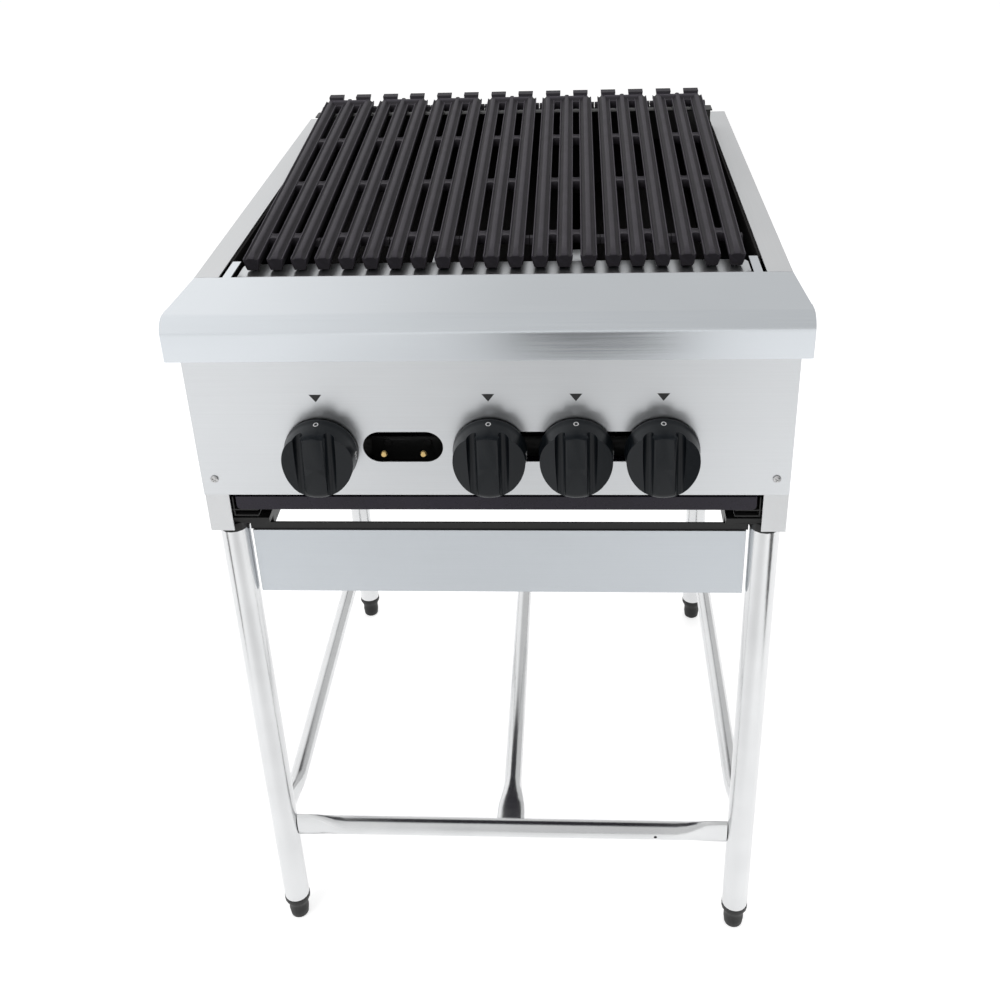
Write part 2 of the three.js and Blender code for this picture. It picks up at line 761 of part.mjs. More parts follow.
function apron() {
  const w = apronWidth / 2;
  const y = legFront;
  const face = block([-w, y - sheet, apronBottom], [w, y, apronTop]);
  const lower = block([-w, y - sheet, apronBottom], [w, y + apronReturn, apronBottom + sheet]);
  const ends = sides.map((side) =>
    sideBlock(side, [w - sheet, y - sheet, apronBottom], [w, y + apronReturn, apronTop]),
  );
  return joined([face, lower, ...ends]);
}

function apronRail() {
  const w = legSide - legRadius - collarProud - seam;
  const y = legFront + seam;
  const inside = apronWidth / 2 - sheet - seam;
  const thickness = 2;
  const web = block([-inside, y, apronTop - 26], [inside, y + thickness, apronTop + 1]);
  const rail = block([-w, y, apronTop + seam], [w, y + thickness, apronTop + 9]);
  return web.add(rail);
}

// ---- Assembly ----
const charbroiler = new THREE.Group();
const cabinet = new THREE.Group();
cabinet.position.y = (knobReach - bodyDepth - inletReach) / 2;
charbroiler.add(cabinet);
const put = (name, body, material) => cabinet.add(mesh(name, body, material));

put("front_panel", frontPanel(), brushedSteel);
put("front_landing", frontLanding(), brushedSteel);
put("rear_panel", rearPanel(), brushedSteel);
put("liner_front", frontLiner(), aluminised);
put("liner_rear", rearLiner(), aluminised);
put("grate_support_front", frontSupport(), brushedSteel);
put("grate_support_rear", rearSupport(), blackPaint);
for (const side of sides) {
  put("side_panel_" + sideName(side), sidePanel(side), brushedSteel);
  put("liner_" + sideName(side), sideLiner(side), aluminised);
  put("corner_screw_" + sideName(side), cornerScrew(side), zinc);
  put("tray_runner_" + sideName(side), trayRunner(side), blackPaint);
}
for (let i = 0; i < grateCount; i++) put("grate_" + (i + 1), grate(i), castIron);

valves.forEach((valve, i) => {
  put("gas_valve_" + (i + 1), gasValve(valve), brass);
  put("valve_stem_" + (i + 1), valveStem(valve), zinc);
  put("knob_" + (i + 1), knob(valve), bakelite);
});
valves
  .filter((valve) => valve.burner)
  .forEach(({ x }, i) => {
    put("burner_" + (i + 1), burner(x), pipeSteel);
    put("radiant_" + (i + 1), radiant(x), aluminised);
  });
put("gas_manifold", gasManifold(), pipeSteel);
put("manifold_bracket", manifoldBracket(), blackPaint);
put("pilot_burner", pilotBurner(), pipeSteel);
put("drip_tray", dripTray(), enamel);

put("base_frame", baseFrame(), blackPaint);
for (const side of sides)
  for (const [where, y] of [["front", legFront], ["rear", legRear]]) {
    const place = where + "_" + sideName(side);
    put("leg_" + place, leg(side * legSide, y), brightTube);
    put("foot_" + place, foot(side * legSide, y), rubber);
  }
const legGap = legRadius + seam;
for (const side of sides)
  put(
    "stretcher_" + sideName(side),
    stretcherAlong(side * legSide, legFront + legGap, legRear - legGap, 90),
    brightTube,
  );
put("stretcher_front", stretcherAcross(legFront), brightTube);
put("stretcher_rear", stretcherAcross(legRear), brightTube);
const crossGap = stretcherRadius + seam;
put(
  "stretcher_centre",
  stretcherAlong(0, legFront + crossGap, legRear - crossGap, 0),
  brightTube,
);
put("apron", apron(), brushedSteel);
put("apron_rail", apronRail(), blackPaint);

export default charbroiler;
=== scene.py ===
# %% [markdown]
# A gas charbroiler on a tubular stand. Its size and its moving parts are already settled in a
# solid model, which loads here as a fixed frame. This lesson gives that frame its looks: smooth
# castings, knobs, brushed sheet and bright tube, and a plain white studio round it.
# %% Load the solid model
import json
import math

import bmesh
import bpy
from mathutils import Matrix, Vector


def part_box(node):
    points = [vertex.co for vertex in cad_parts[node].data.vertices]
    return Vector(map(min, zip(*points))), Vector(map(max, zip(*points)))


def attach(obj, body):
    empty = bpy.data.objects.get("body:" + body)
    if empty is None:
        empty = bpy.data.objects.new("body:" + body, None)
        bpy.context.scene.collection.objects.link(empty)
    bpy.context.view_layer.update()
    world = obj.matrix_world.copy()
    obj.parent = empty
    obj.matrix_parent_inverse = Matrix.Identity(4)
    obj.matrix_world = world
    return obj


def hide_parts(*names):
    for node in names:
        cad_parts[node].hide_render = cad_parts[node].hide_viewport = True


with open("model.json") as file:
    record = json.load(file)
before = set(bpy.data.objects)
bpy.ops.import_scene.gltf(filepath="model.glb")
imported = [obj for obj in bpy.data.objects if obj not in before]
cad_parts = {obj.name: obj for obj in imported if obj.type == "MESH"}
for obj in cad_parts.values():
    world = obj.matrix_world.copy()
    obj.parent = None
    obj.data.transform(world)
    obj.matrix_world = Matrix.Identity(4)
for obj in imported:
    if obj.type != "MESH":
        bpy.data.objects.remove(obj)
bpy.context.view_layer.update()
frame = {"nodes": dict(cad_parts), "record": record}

MM = 0.001
home = {}
for body, members in frame["record"]["behaviour"]["bodies"].items():
    for member in members:
        home[member] = body
slots = {part["node"]: part["material_slot"] for part in frame["record"]["subparts"]}
panel_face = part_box("front_panel")[0].y
print("nodes:", len(home), "control panel face at y =", round(panel_face, 4))

# %% [markdown]
# The camera stands in front of the grill, a little to the right, and looks down at it from 1.34 m
# above the floor. A lens of 42 mm on a full frame keeps the perspective natural. The shift
# slides the picture without turning the camera, so the uprights keep their lean.
# %% Camera
camera_data = bpy.data.cameras.new("cook_eye")
camera_data.sensor_width = 36.0
camera_data.lens = 41.88
camera_data.shift_x = -0.0087
camera_data.shift_y = -0.1428
camera = bpy.data.objects.new("cook_eye", camera_data)
camera.location = (0.0888, -1.3195, 1.3431)
camera.rotation_euler = [math.radians(angle) for angle in (62.994, 1.889, 2.893)]
bpy.context.scene.collection.objects.link(camera)
bpy.context.scene.camera = camera
bpy.context.scene.view_settings.view_transform = "Standard"
print("camera", camera.location)

# %% [markdown]
# Materials are written as sums. Value wraps one socket, and adding or multiplying two of them
# adds the Math node that does it. Tree.node() adds every other kind of node: first its
# settings, then what goes into its sockets.
# %% Sockets that add and multiply


class Value:
    def __init__(self, tree, socket):
        self.tree = tree
        self.socket = socket

    def math(self, operation, *terms):
        return self.tree.node("Math", {"operation": operation}, dict(enumerate(terms)))

    def __add__(self, other):
        return self.math("ADD", self, other)

    def __radd__(self, other):
        return self.math("ADD", other, self)

    def __sub__(self, other):
        return self.math("SUBTRACT", self, other)

    def __rsub__(self, other):
        return self.math("SUBTRACT", other, self)

    def __mul__(self, other):
        return self.math("MULTIPLY", self, other)


class Tree:
    def __init__(self, nodes):
        self.nodes = nodes

    def feed(self, socket, value):
        if isinstance(value, Value):
            self.nodes.links.new(value.socket, socket)
        else:
            socket.default_value = value

    def node(self, kind, settings=None, inputs=None, output=0):
        added = self.nodes.nodes.new("ShaderNode" + kind)
        for name, setting in (settings or {}).items():
            setattr(added, name, setting)
        for name, value in (inputs or {}).items():
            self.feed(added.inputs[name], value)
        return Value(self, added.outputs[output])

    def mix(self, factor, first, second):
        return self.node("Mix", {"data_type": "RGBA"}, {0: factor, 6: first, 7: second}, output=2)

    def noise(self, scale, squeeze=(1, 1, 1), detail=3.0):
        place = self.node("TexCoord", output="Object")
        squeezed = self.node("Mapping", {}, {"Vector": place, "Scale": squeeze})
        return self.node("TexNoise", {}, {"Vector": squeezed, "Scale": scale, "Detail": detail})


class Finish(Tree):
    def __init__(self, name):
        self.material = bpy.data.materials.new(name)
        self.material.use_nodes = True
        super().__init__(self.material.node_tree)
        self.shader = self.nodes.nodes["Principled BSDF"]

    def paint(self, **sockets):
        for name, value in sockets.items():
            label = name.replace("_", " ").title().replace("Ior", "IOR")
            self.feed(self.shader.inputs[label], value)

    def rough_skin(self, height, depth, strength=1.0):
        bump = {"Height": height, "Distance": depth, "Strength": strength}
        self.paint(normal=self.node("Bump", {}, bump))


def shade(level, warmth=0.0):
    """A grey of that level, a little warmer above zero and cooler below it."""
    return (level * (1 + warmth), level, level * (1 - warmth), 1)


print("shader helpers ready")

# %% [markdown]
# Brushed stainless is a bright metal with fine parallel scratches. A noise that is squeezed
# hard across the grain gives scratches without a picture of them. They vary the roughness more
# than the colour. A slow noise on top gives the faint clouds that hands and cloths leave.
# %% Stainless finishes


def brushed_steel(name, level, grain, roughness, warmth=0.0):
    finish = Finish(name)
    across = {"x": (8, 700, 700), "y": (700, 8, 700), "z": (700, 700, 8)}[grain]
    scratches = finish.noise(1.0, across, detail=4.0)
    clouds = finish.noise(7.0, detail=2.0)
    tone = 0.25 + scratches * 0.3 + clouds * 0.3
    dark = shade(level * 0.84, warmth)
    light = shade(level * 1.12, warmth)
    finish.paint(
        base_color=finish.mix(tone, dark, light),
        metallic=1.0,
        roughness=roughness - 0.06 + scratches * 0.1 + clouds * 0.04,
    )
    finish.rough_skin(scratches, 0.00002, 0.5)
    return finish.material


steel_across = brushed_steel("stainless_grain_across", 0.62, "x", 0.30, -0.025)
steel_along = brushed_steel("stainless_grain_along", 0.70, "y", 0.55, -0.012)
steel_landing = brushed_steel("stainless_landing", 0.64, "x", 0.2, -0.045)
# The apron's steel is set darker than the panel's: painted shade, for the dim lower front that it
# mirrors.
steel_apron_painted_shade = brushed_steel("stainless_apron_painted_shade", 0.58, "x", 0.42, -0.05)


def bright_tube():
    """Polished tube: it mirrors the room, with shallow dents and smears."""
    finish = Finish("bright_tube")
    dents = finish.noise(60.0, detail=2.0)
    smears = finish.noise(14.0, detail=3.0)
    finish.paint(
        base_color=finish.mix(smears, shade(0.57, -0.01), shade(0.73, -0.01)),
        metallic=1.0,
        roughness=0.14 + smears * 0.16,
    )
    finish.rough_skin(dents, 0.0003, 0.25)
    return finish.material


def dull_sheet(name, level, roughness):
    finish = Finish(name)
    spangle = finish.noise(90.0, detail=4.0)
    finish.paint(
        base_color=finish.mix(spangle, shade(level * 0.75), shade(level * 1.2)),
        metallic=1.0,
        roughness=roughness - 0.1 + spangle * 0.2,
    )
    return finish.material


tube = bright_tube()
zinc = dull_sheet("zinc_plate", 0.55, 0.36)
print("steels:", steel_across.name, tube.name, zinc.name)

# %% [markdown]
# Seasoned cast iron is almost black, with the sand grain of its mould. Ridges that food and
# brushes rub are a little lighter and smoother. The ridges and the lips along the ribs are
# also painted lighter, as a painted highlight where light from above falls on them. Both are
# stored on the mesh, point by point, in an attribute that the material reads.
# %% Black finishes and brass


def cast_iron():
    finish = Finish("cast_iron")
    sand = finish.noise(900.0, detail=3.0)
    swirl = finish.noise(45.0, detail=3.0)
    # Worn points take the lighter colour: real rubbing, and a painted highlight on ridges and lips.
    wear_and_sheen = finish.node("Attribute", {"attribute_name": "wear_and_sheen"}, output="Fac")
    worn_and_lit = wear_and_sheen * (0.55 + swirl * 0.7)
    dark = finish.mix(swirl, (0.0085, 0.0072, 0.0095, 1), (0.0160, 0.0138, 0.0178, 1))
    finish.paint(
        base_color=finish.mix(worn_and_lit, dark, (0.044, 0.039, 0.050, 1)),
        roughness=0.60 - worn_and_lit * 0.12 + sand * 0.08,
        specular_ior_level=0.35,
    )
    finish.rough_skin(sand * 0.5 + swirl * 1.5, 0.0003, 0.6)
    return finish.material


def black_coat(name, level, roughness, grain, depth, tint=(1, 1, 1), gloss=0.35):
    finish = Finish(name)
    peel = finish.noise(grain, detail=2.0)
    dark = [level * 0.8 * part for part in tint] + [1]
    light = [level * 1.25 * part for part in tint] + [1]
    finish.paint(
        base_color=finish.mix(peel, dark, light),
        roughness=roughness - 0.05 + peel * 0.1,
        specular_ior_level=gloss,
    )
    finish.rough_skin(peel, depth, 0.5)
    return finish.material


def machined_brass():
    finish = Finish("machined_brass")
    rings = finish.noise(120.0, detail=2.0)
    finish.paint(
        base_color=finish.mix(rings, (0.55, 0.38, 0.15, 1), (0.70, 0.52, 0.24, 1)),
        metallic=1.0,
        roughness=0.25 + rings * 0.15,
    )
    return finish.material


iron = cast_iron()
enamel = black_coat("black_enamel", 0.010, 0.28, 120.0, 0.0002, (1.25, 0.95, 1.9), 0.30)
paint = black_coat("black_paint", 0.010, 0.42, 400.0, 0.0001)
pipe = black_coat("black_pipe", 0.035, 0.5, 300.0, 0.0002)
bakelite = black_coat("bakelite", 0.0075, 0.34, 500.0, 0.00004, (0.75, 1, 1.3), 0.26)
# Aluminised sheet is drawn near black: painted shade, for the shade it lies in inside the grill.
shaded_sheet = black_coat("aluminised_sheet_painted_shade", 0.010, 0.8, 40.0, 0.0003, (1.1, 1, 1), 0.15)
foot_plastic = black_coat("foot_plastic", 0.010, 0.55, 500.0, 0.0001)
brass = machined_brass()


def plain(name, level, roughness):
    finish = Finish(name)
    specks = finish.noise(800.0)
    finish.paint(base_color=finish.mix(specks, shade(level * 0.9), shade(level)), roughness=roughness)
    return finish.material


black_ink = plain("black_ink", 0.012, 0.5)
white_ink = plain("white_ink", 0.8, 0.6)
finish_of_slot = {
    "brushed_stainless": steel_across,
    "bright_tube": tube,
    "cast_iron": iron,
    "black_enamel": enamel,
    "black_paint": paint,
    # The aluminised sheet takes the near-black painted shade finish.
    "aluminised_sheet": shaded_sheet,
    "bakelite": bakelite,
    "brass": brass,
    "zinc_plated": zinc,
    "black_pipe": pipe,
    "foot_plastic": foot_plastic,
}
print("finishes:", len(bpy.data.materials))

# %% [markdown]
# Every piece below is an object of its own, though equal pieces share a mesh. place() puts one in
# the scene, smooths its round faces and keeps its real edges. It breaks those edges a little,
# where it is given a width, so that they catch the light as folded or cast metal does, and it
# ties the piece to the body that carries it.
# %% Put a mesh in the scene


def break_edges(piece, width, angle):
    bevel = piece.modifiers.new("broken_edges", "BEVEL")
    bevel.width = width
    bevel.segments = 2
    bevel.limit_method = "ANGLE"
    bevel.angle_limit = math.radians(angle)
    bevel.harden_normals = True


def place(piece, finish, body, slot, edge=0.0, stands_for=(), angle=38.0):
    mesh = piece.data
    mesh.materials.clear()
    mesh.materials.append(finish)
    mesh.polygons.foreach_set("use_smooth", [True] * len(mesh.polygons))
    mesh.set_sharp_from_angle(angle=math.radians(angle))
    if edge:
        break_edges(piece, edge, angle)
    bpy.context.scene.collection.objects.link(piece)
    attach(piece, body)
    if stands_for:
        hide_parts(*stands_for)
    return piece


def piece_from(name, corners, faces):
    mesh = bpy.data.meshes.new(name)
    mesh.from_pydata([tuple(corner) for corner in corners], [], faces)
    mesh.validate()
    return bpy.data.objects.new(name, mesh)


def outward(piece):
    """Turns every face of closed shells outwards."""
    shell = bmesh.new()
    shell.from_mesh(piece.data)
    bmesh.ops.recalc_face_normals(shell, faces=shell.faces)
    shell.to_mesh(piece.data)
    shell.free()
    return piece


print("place() ready")

# %% [markdown]
# Sheet, pipe and hidden metalwork already has its true shape in the solid model. A copy of each
# such solid is cleaned of the cuts between its triangles, and its edges are broken.
# %% Sheet metal, pipes and hidden pieces


def dressed(node, finish, edge):
    mesh = frame["nodes"][node].data.copy()
    clean = bmesh.new()
    clean.from_mesh(mesh)
    bmesh.ops.remove_doubles(clean, verts=clean.verts, dist=1e-6)
    bmesh.ops.dissolve_limit(
        clean, angle_limit=math.radians(1.0), verts=clean.verts, edges=clean.edges
    )
    clean.to_mesh(mesh)
    clean.free()
    piece = bpy.data.objects.new(node + "_dressed", mesh)
    return place(piece, finish, home[node], slots[node], edge, [node])


THIN_EDGE = 0.25 * MM
FOLDED_EDGE = 0.5 * MM
special_finish = {
    "front_landing": (steel_landing, 1.2 * MM),
    "side_panel_left": (steel_along, FOLDED_EDGE),
    "side_panel_right": (steel_along, FOLDED_EDGE),
    # The apron gets the darker copy of the stainless: painted shade.
    "apron": (steel_apron_painted_shade, FOLDED_EDGE),
    "front_panel": (steel_across, 0.3 * MM),
    "drip_tray": (enamel, 0.4 * MM),
}
GRATES = ["grate_%d" % index for index in range(1, 8)]
modelled_below = tuple(GRATES) + ("knob_", "corner_screw_")
kept_shapes = [node for node in sorted(home) if not node.startswith(modelled_below)]
for node in kept_shapes:
    finish, edge = special_finish.get(node, (finish_of_slot[slots[node]], THIN_EDGE))
    dressed(node, finish, edge)
print("dressed:", len(kept_shapes))

# %% [markdown]
# Each grate is one casting of three ribs. A rib has a narrow ridge that marks the food, two
# hollow flanks that carry the fat away, and a low lip on each edge. Sweeping one outline along
# the rib gives all of it. The ridge dips at the front tip, where the outline is pressed down.
# %% Ribs of a grate
RIB_PITCH = 25 * MM
RIB_LENGTH = 481 * MM
RIDGE = 17 * MM
LIP = 13.9 * MM
GRATE_RISE = 39.5 * MM
GRATE_RUN = 482 * MM
KEEL_LIFT = 1 * MM
# The third column is wear and painted highlight: the ridge and the lips are painted lighter where
# light from above falls.
flank = [
    (0.0, 17.0, 0.6),
    (1.5, 17.0, 0.6),
    (2.3, 16.6, 0.5),
    (3.1, 15.2, 0.1),
    (4.4, 13.4, 0.0),
    (5.6, 12.7, 0.0),
    (6.4, 12.6, 0.0),
    (6.9, 13.3, 0.7),
    (7.3, 13.9, 1.0),
    (8.1, 13.9, 1.0),
    (8.4, 13.1, 0.4),
    (8.2, 10.0, 0.0),
    (6.9, 4.0, 0.0),
    (5.5, 0.0, 0.0),
]
rib_outline = [(x * MM, z * MM, wear_and_sheen) for x, z, wear_and_sheen in flank]
rib_outline += [(-x, z, wear_and_sheen) for x, z, wear_and_sheen in reversed(rib_outline[1:])]
TIP_DROP = 2.6 * MM
TIP_RUN = 15 * MM
TIP_ROUND = 1.2 * MM
tip_steps = [0.0, 0.08, 0.25, 0.5, 0.75, 1.0]


class Casting:
    """Collects closed shells, with the wear and painted highlight of each point, for one mesh."""

    def __init__(self):
        self.corners = []
        self.faces = []
        self.wear_and_sheen = []

    def loft(self, rings, wears_and_sheens):
        first = len(self.corners)
        count = len(rings[0])
        for ring, wear_and_sheen in zip(rings, wears_and_sheens):
            self.corners += ring
            self.wear_and_sheen += wear_and_sheen
        for step in range(len(rings) - 1):
            low = first + step * count
            for i in range(count):
                j = (i + 1) % count
                self.faces.append((low + i, low + j, low + count + j, low + count + i))
        last = first + (len(rings) - 1) * count
        self.faces.append(tuple(range(first, first + count)))
        self.faces.append(tuple(range(last + count - 1, last - 1, -1)))

    def mesh(self, name):
        piece = outward(piece_from(name, self.corners, self.faces))
        worn_and_lit = piece.data.attributes.new("wear_and_sheen", "FLOAT", "POINT")
        worn_and_lit.data.foreach_set("value", self.wear_and_sheen)
        return piece.data


def rib_ring(x0, along):
    """The rib's outline at one distance from its front tip."""
    near = max(0.0, 1 - along / TIP_RUN)
    top = RIDGE - TIP_DROP * near**1.6
    slim = 1 - 0.09 * max(0.0, 1 - along / TIP_ROUND)
    flare = 1 + 0.05 * near**3
    ring = []
    for x, z, wear_and_sheen in rib_outline:
        height = min(z, top) if z > LIP else z
        ring.append((x0 + x * slim * flare, along, TIP_ROUND * (1 - slim) * 8 + height * slim))
    return ring


def add_rib(casting, x0):
    stations = [step * TIP_RUN for step in tip_steps]
    stations += [RIB_LENGTH * part for part in (0.25, 0.5, 0.75, 1.0)]
    rings = [rib_ring(x0, along) for along in stations]
    wear_and_sheen = [w for x, z, w in rib_outline]
    casting.loft(rings, [wear_and_sheen] * len(rings))


print("rib outline:", len(rib_outline), "points")

# %% [markdown]
# Low bars tie the ribs together. Where a bar meets a rib it widens in a small fillet, because
# molten iron doesn't run into a sharp corner. At the back the ridges end in a cross ridge, and
# two flared lugs stand up behind it, so that a hook or a fork can lift the grate.
# %% Cross bars, rear bar, lugs and spacers
CROSS_BARS = [56 * MM, 197 * MM, 335 * MM]
BAR_HALF = 5.2 * MM
FILLET = 3.4 * MM
BAR_TOP = 13.4 * MM
BAR_KEEL = 3 * MM
BAR_LIP = 0.7 * MM
BAR_STEPS = 8
REAR_WEB = 463 * MM
RIB_HALF = 8.0 * MM
SPACER_INSET = 7 * MM
SPACER_FOOT = 7 * MM
SPACER_POINT = 3.5 * MM
GRATE_GAP_HALF = 0.4 * MM


def bar_ring(x, low, high):
    """Section of a low bar: flat keel, upright sides and a lip on both edges."""
    return [
        (x, low, BAR_KEEL),
        (x, high, BAR_KEEL),
        (x, high, BAR_TOP - 0.6 * MM),
        (x, high - 0.4 * MM, BAR_TOP),
        (x, high - 1.3 * MM, BAR_TOP),
        (x, high - 2.2 * MM, BAR_TOP - BAR_LIP),
        (x, low + 2.2 * MM, BAR_TOP - BAR_LIP),
        (x, low + 1.3 * MM, BAR_TOP),
        (x, low + 0.4 * MM, BAR_TOP),
        (x, low, BAR_TOP - 0.6 * MM),
    ]


# Wear and painted highlight of the bar's points: its top lips are painted lighter, as a highlight.
bar_wear_and_sheen = [0.0, 0.0, 0.2, 0.6, 0.6, 0.3, 0.3, 0.6, 0.6, 0.2]


def add_bar(casting, left, right, low, high, fillet_low, fillet_high):
    rings = []
    for step in range(BAR_STEPS + 1):
        part = step / BAR_STEPS
        x = left + (right - left) * part
        edge = abs(2 * part - 1)
        swell = FILLET * (1 - math.sqrt(max(0.0, 1 - edge**2)))
        rings.append(bar_ring(x, low - swell * fillet_low, high + swell * fillet_high))
    casting.loft(rings, [bar_wear_and_sheen] * len(rings))


def add_block(casting, lower, upper, z0, z1, wear_and_sheen):
    """A block whose lower and upper rectangles, each (x0, x1, y0, y1), may differ."""
    rings = []
    for (x0, x1, y0, y1), z in ((lower, z0), (upper, z1)):
        rings.append([(x0, y0, z), (x1, y0, z), (x1, y1, z), (x0, y1, z)])
    casting.loft(rings, [[wear_and_sheen] * 4] * 2)


def add_rear_ridge(casting, half_width):
    rings = []
    section = [
        (465, 12.4, 0.2),
        (468, 13.2, 0.1),
        (470, 14.6, 0.1),
        (471.6, 16.4, 0.8),
        (472.6, 17.0, 1.0),
        (476.4, 17.0, 1.0),
        (477.4, 16.4, 0.8),
        (479.5, 13.0, 0.2),
        (482, 9.0, 0.1),
        (482, 3.0, 0.0),
        (465, 3.0, 0.0),
    ]
    for x in (-half_width, half_width):
        rings.append([(x, y * MM, z * MM) for y, z, wear_and_sheen in section])
    casting.loft(rings, [[wear_and_sheen for y, z, wear_and_sheen in section]] * 2)


def grate_mesh():
    casting = Casting()
    reach = 1.5 * RIB_PITCH - GRATE_GAP_HALF
    for place_in_grate in (-1, 0, 1):
        add_rib(casting, place_in_grate * RIB_PITCH)
    for gap in (-1, 1):
        left = (gap * RIB_PITCH - RIB_PITCH) / 2 + RIB_HALF
        right = (gap * RIB_PITCH + RIB_PITCH) / 2 - RIB_HALF
        for along in CROSS_BARS:
            add_bar(casting, left, right, along - BAR_HALF, along + BAR_HALF, 1, 1)
        add_bar(casting, left, right, REAR_WEB, RIB_LENGTH, 1, 0)
    add_rear_ridge(casting, RIB_PITCH + 2.6 * MM)
    for side in (-1, 1):
        x0, x1 = sorted((side * 9.8 * MM, side * 27.2 * MM))
        t0, t1 = sorted((side * 8.6 * MM, side * 28.6 * MM))
        foot = (x0, x1, 477.5 * MM, 483 * MM)
        crown = (t0, t1, 480 * MM, 492 * MM)
        add_block(casting, foot, crown, 9 * MM, 19.6 * MM, 0.35)
        n0, n1 = sorted((side * (RIB_PITCH + SPACER_INSET), side * reach))
        for along in (CROSS_BARS[0], 471 * MM):
            wide = (n0, n1, along - SPACER_FOOT, along + SPACER_FOOT)
            point = (n0, n1, along - SPACER_POINT, along + SPACER_POINT)
            add_block(casting, wide, point, 2.5 * MM, 8.6 * MM, 0.3)
    return casting.mesh("grate_casting")


casting_mesh = grate_mesh()
slope = math.atan2(GRATE_RISE, GRATE_RUN)
for node in GRATES:
    low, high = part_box(node)
    piece = bpy.data.objects.new(node + "_casting", casting_mesh)
    keel = low.z + KEEL_LIFT
    front = low.y + RIDGE * math.sin(slope)
    seat = Matrix.Translation(((low.x + high.x) / 2, front, keel))
    piece.matrix_world = seat @ Matrix.Rotation(slope, 4, "X")
    place(piece, iron, home[node], slots[node], 0.45 * MM, [node], angle=50.0)
print("grate:", len(casting_mesh.vertices), "points, shared by", len(GRATES))

# %% [markdown]
# A knob is turned first and cut afterwards, as its mould was made: a round body on a skirt,
# crossed by a roof that rises to a proud grip, with a hollow down each side of the grip. The
# hollows are deep at the top and run out at the bottom. Booleans do the cutting, and their
# result is kept as a plain mesh.
# %% Solids to cut with
TURN_STEPS = 96


def turned(name, profile):
    """Turns (radius, depth) points, in mm, round the Y axis. They run from axis to axis."""
    corners = []
    faces = []
    for radius, depth in [(r * MM, y * MM) for r, y in profile]:
        for step in range(TURN_STEPS):
            angle = math.tau * step / TURN_STEPS
            corners.append((radius * math.cos(angle), depth, radius * math.sin(angle)))
    for ring in range(len(profile) - 1):
        for step in range(TURN_STEPS):
            a = ring * TURN_STEPS + step
            b = ring * TURN_STEPS + (step + 1) % TURN_STEPS
            faces.append((a, b, b + TURN_STEPS, a + TURN_STEPS))
    piece = piece_from(name, corners, faces)
    shell = bmesh.new()
    shell.from_mesh(piece.data)
    bmesh.ops.remove_doubles(shell, verts=shell.verts, dist=1e-7)
    bmesh.ops.holes_fill(shell, edges=shell.edges)
    bmesh.ops.recalc_face_normals(shell, faces=shell.faces)
    shell.to_mesh(piece.data)
    shell.free()
    return piece


def prism(name, outline, low, high, axis="z"):
    """A closed outline pushed along an axis, between two heights."""
    count = len(outline)
    corners = []
    for height in (low, high):
        for a, b in outline:
            corners.append((a, b, height) if axis == "z" else (a, height, b))
    sides = [(i, (i + 1) % count, count + (i + 1) % count, count + i) for i in range(count)]
    ends = [tuple(range(count)), tuple(range(2 * count - 1, count - 1, -1))]
    return outward(piece_from(name, corners, sides + ends))


def oval(across, up, half_across, half_up, steps=28):
    turn = [math.tau * step / steps for step in range(steps)]
    return [(across + half_across * math.cos(a), up + half_up * math.sin(a)) for a in turn]


def combine(piece, tool, operation):
    """Joins or cuts with a tool, keeps the result and throws the tool away."""
    scene = bpy.context.scene.collection
    scene.objects.link(piece)
    scene.objects.link(tool)
    boolean = piece.modifiers.new("cut", "BOOLEAN")
    boolean.operation = operation
    boolean.solver = "EXACT"
    boolean.object = tool
    bpy.context.view_layer.update()
    result = bpy.data.meshes.new_from_object(
        piece.evaluated_get(bpy.context.evaluated_depsgraph_get())
    )
    piece.modifiers.clear()
    piece.data = result
    scene.objects.unlink(piece)
    bpy.data.objects.remove(tool)
    return piece


print("turned, prism and combine ready")

# %% Knobs
HOLLOW = 5.2 * MM
HOLLOW_OFF_CENTRE = 15.6 * MM
HOLLOW_DEPTH = -33.4 * MM
CUT_REACH = 60 * MM
FACE_LEAN = -5.0
HOLLOW_LEAN = -11.0


def knob_mesh():
    skirt = [(0, -2), (37.1, -2), (37.5, -2.5), (37.5, -5), (37.0, -6.2), (36.6, -12)]
    rim = [(36.2, -20), (35.8, -28), (35.0, -32), (33.4, -35.4), (31.0, -37.4)]
    rim += [(28.0, -38), (0, -38)]
    knob = turned("knob_body", skirt + rim)
    roof = [(-40, -22.4), (-13.5, -34.2), (-12.2, -33.6), (-11.2, -35.0)]
    roof += [(-10.2, -37.2), (-8.6, -38.0)]
    roof += [(-x, y) for x, y in reversed(roof)]
    roof += [(40, 12), (-40, 12)]
    face = prism("face", [(x * MM, y * MM) for x, y in roof], -CUT_REACH, CUT_REACH)
    face.rotation_euler.x = math.radians(FACE_LEAN)
    combine(knob, face, "INTERSECT")
    for side in (-1, 1):
        trough = oval(side * HOLLOW_OFF_CENTRE, 0, HOLLOW, HOLLOW, 48)
        hollow = prism("hollow", trough, -CUT_REACH, CUT_REACH)
        hollow.rotation_euler.x = math.radians(HOLLOW_LEAN)
        hollow.location.y = HOLLOW_DEPTH
        combine(knob, hollow, "DIFFERENCE")
    base = turned("skirt", skirt + [(0, -12)])
    return combine(knob, base, "UNION").data


knob_shape = knob_mesh()
knob_centres = []
for index in range(1, 5):
    node = "knob_%d" % index
    low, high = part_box(node)
    centre = Vector(((low.x + high.x) / 2, panel_face, (low.z + high.z) / 2))
    knob_centres.append(centre)
    piece = bpy.data.objects.new(node + "_moulding", knob_shape)
    piece.location = centre
    place(piece, bakelite, home[node], slots[node], 0.7 * MM, [node], angle=32.0)
print("knobs at", [tuple(round(v, 4) for v in centre) for centre in knob_centres])

